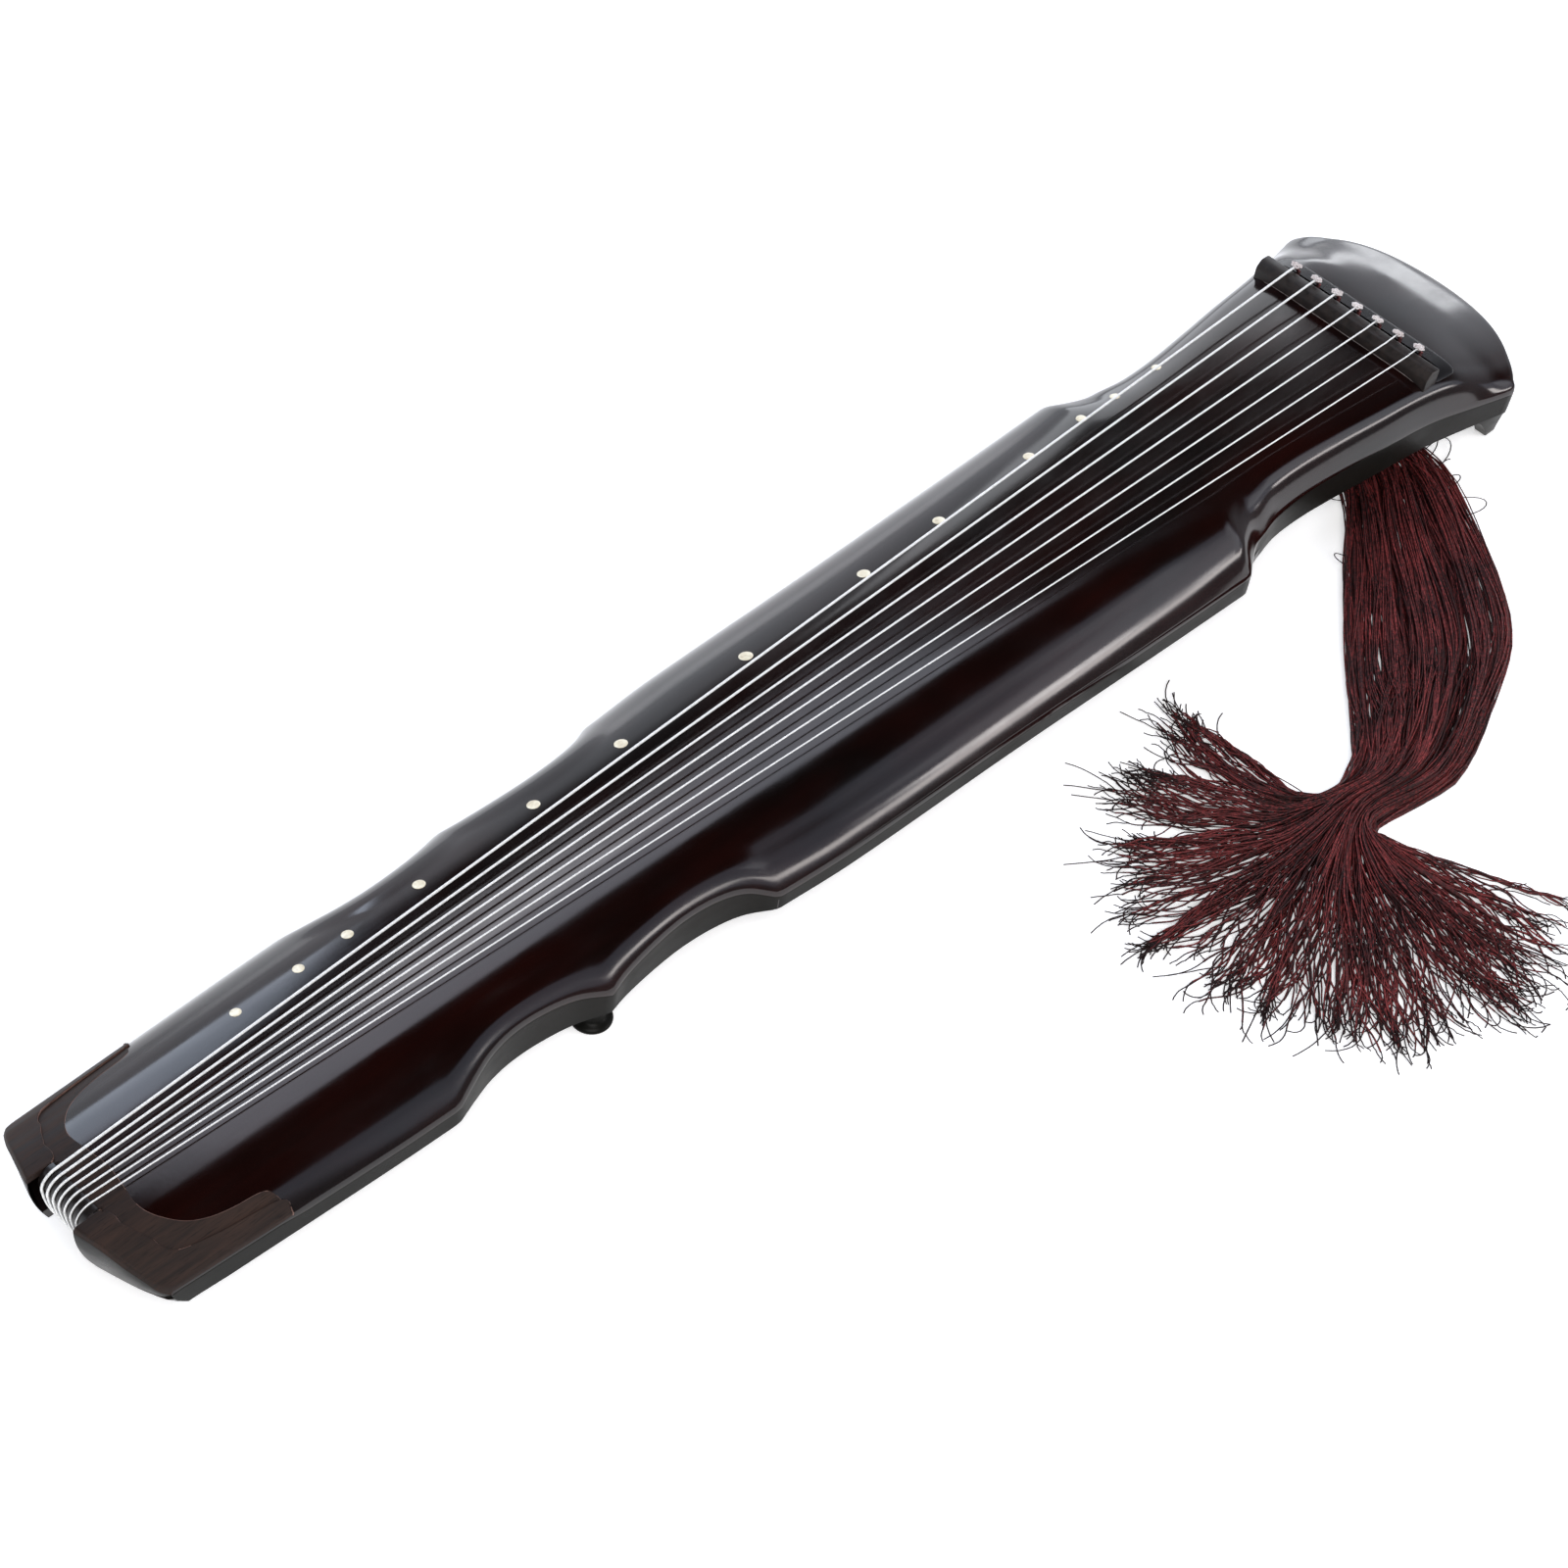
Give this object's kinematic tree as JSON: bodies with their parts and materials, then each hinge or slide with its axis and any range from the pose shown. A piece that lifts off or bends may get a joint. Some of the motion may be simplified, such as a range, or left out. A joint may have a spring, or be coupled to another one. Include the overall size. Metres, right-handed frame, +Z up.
{
  "type": "guqin",
  "caption": "Guqin, a long lacquered Chinese zither with an arched top, waist cuts, inlaid studs, strings over bridge and nut to goose feet, hollow tuning pegs and silk tassels.",
  "frame": {"origin": "on the floor under the middle of the instrument's length and width", "axes": "+X towards the head, +Y towards the side with the studs, +Z up"},
  "size_m": [1.2659, 0.5373, 0.0956],
  "materials": {
    "lacquer": "near-black urushi lacquer with a maroon undertone, polished to a high gloss",
    "lacquer_under": "dark lacquer on the flat underside, half gloss",
    "rosewood": "dark brown rosewood with fine grain, satin",
    "ebony": "black hardwood, satin",
    "peg_wood": "turned dark rosewood, satin",
    "softwood": "bare light wood inside the chamber",
    "shell": "polished pale shell",
    "string_silk": "silver-white wound silk string",
    "knot_cord": "white twisted cord",
    "yarn": "wine-red twisted silk yarn"
  },
  "bodies": {
    "body": {"top_board": "lacquer", "bottom_board": "lacquer_under", "bridge": "rosewood", "head_plate": "rosewood", "tail_band": "rosewood", "tail_corner_near": "rosewood", "tail_corner_far": "rosewood", "peg_plate": "rosewood", "foot_near": "rosewood", "foot_far": "rosewood", "guard_near": "rosewood", "guard_far": "rosewood", "nut": "ebony", "tail_chin": "ebony", "heaven_post": "softwood", "earth_post": "softwood", "string_1": "string_silk", "tuning_cord_1": "knot_cord", "tassel_1": "yarn", "string_2": "string_silk", "tuning_cord_2": "knot_cord", "tassel_2": "yarn", "string_3": "string_silk", "tuning_cord_3": "knot_cord", "tassel_3": "yarn", "string_4": "string_silk", "tuning_cord_4": "knot_cord", "tassel_4": "yarn", "string_5": "string_silk", "tuning_cord_5": "knot_cord", "tassel_5": "yarn", "string_6": "string_silk", "tuning_cord_6": "knot_cord", "tassel_6": "yarn", "string_7": "string_silk", "tuning_cord_7": "knot_cord", "tassel_7": "yarn", "stud_1": "shell", "stud_2": "shell", "stud_3": "shell", "stud_4": "shell", "stud_5": "shell", "stud_6": "shell", "stud_7": "shell", "stud_8": "shell", "stud_9": "shell", "stud_10": "shell", "stud_11": "shell", "stud_12": "shell", "stud_13": "shell"},
    "peg_body_1": {"peg_1": "peg_wood"},
    "peg_body_2": {"peg_2": "peg_wood"},
    "peg_body_3": {"peg_3": "peg_wood"},
    "peg_body_4": {"peg_4": "peg_wood"},
    "peg_body_5": {"peg_5": "peg_wood"},
    "peg_body_6": {"peg_6": "peg_wood"},
    "peg_body_7": {"peg_7": "peg_wood"}
  },
  "joints": [
    {"name": "peg_1_turn", "type": "hinge", "parent": "body", "child": "peg_body_1", "pos_m": [0.522, 0.0566, 0.03], "axis": [0, 0, 1], "continuous": true},
    {"name": "peg_2_turn", "type": "hinge", "parent": "body", "child": "peg_body_2", "pos_m": [0.522, 0.03773, 0.03], "axis": [0, 0, 1], "continuous": true},
    {"name": "peg_3_turn", "type": "hinge", "parent": "body", "child": "peg_body_3", "pos_m": [0.522, 0.01887, 0.03], "axis": [0, 0, 1], "continuous": true},
    {"name": "peg_4_turn", "type": "hinge", "parent": "body", "child": "peg_body_4", "pos_m": [0.522, 0, 0.03], "axis": [0, 0, 1], "continuous": true},
    {"name": "peg_5_turn", "type": "hinge", "parent": "body", "child": "peg_body_5", "pos_m": [0.522, -0.01887, 0.03], "axis": [0, 0, 1], "continuous": true},
    {"name": "peg_6_turn", "type": "hinge", "parent": "body", "child": "peg_body_6", "pos_m": [0.522, -0.03773, 0.03], "axis": [0, 0, 1], "continuous": true},
    {"name": "peg_7_turn", "type": "hinge", "parent": "body", "child": "peg_body_7", "pos_m": [0.522, -0.0566, 0.03], "axis": [0, 0, 1], "continuous": true}
  ]
}
